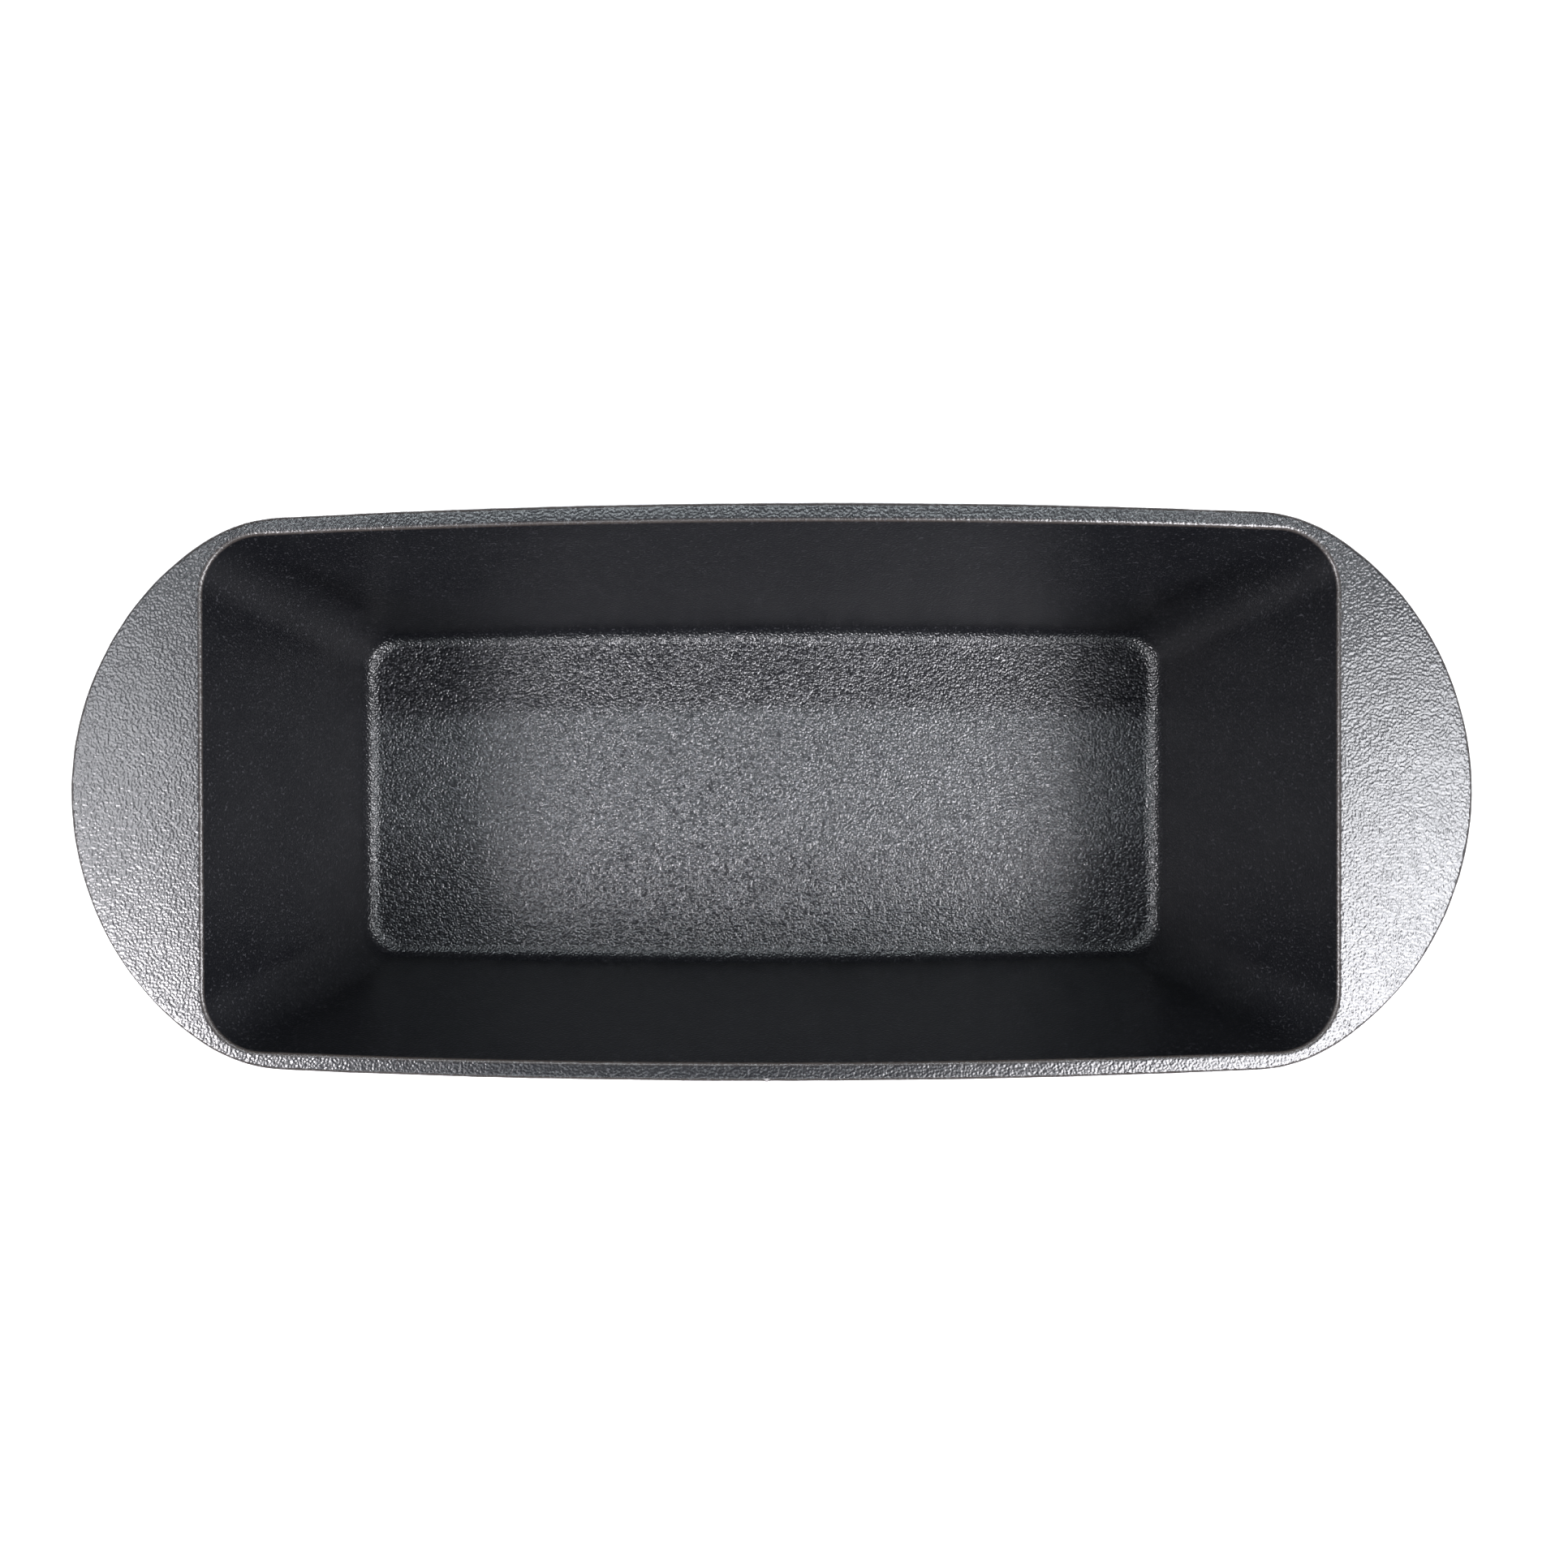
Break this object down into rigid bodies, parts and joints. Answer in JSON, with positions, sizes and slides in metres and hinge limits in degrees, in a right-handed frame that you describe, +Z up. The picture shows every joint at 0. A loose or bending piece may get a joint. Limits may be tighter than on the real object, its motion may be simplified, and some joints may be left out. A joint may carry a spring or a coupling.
{
  "type": "loaf pan",
  "caption": "Deep cast iron loaf pan with sloping walls, bowed long sides, a flat rim and a flat half-moon handle at each end, for baking bread.",
  "frame": {"origin": "centre of the base, on the surface that the pan stands on", "axes": "+Z up, +X along the length towards one handle, +Y across the width"},
  "size_m": [0.335, 0.1382, 0.081],
  "materials": {
    "seasoned_iron": "baked-on black seasoning, satin, over a fine sand-cast grain"
  },
  "bodies": {
    "root": {"pan_casting": "seasoned_iron"}
  },
  "joints": []
}
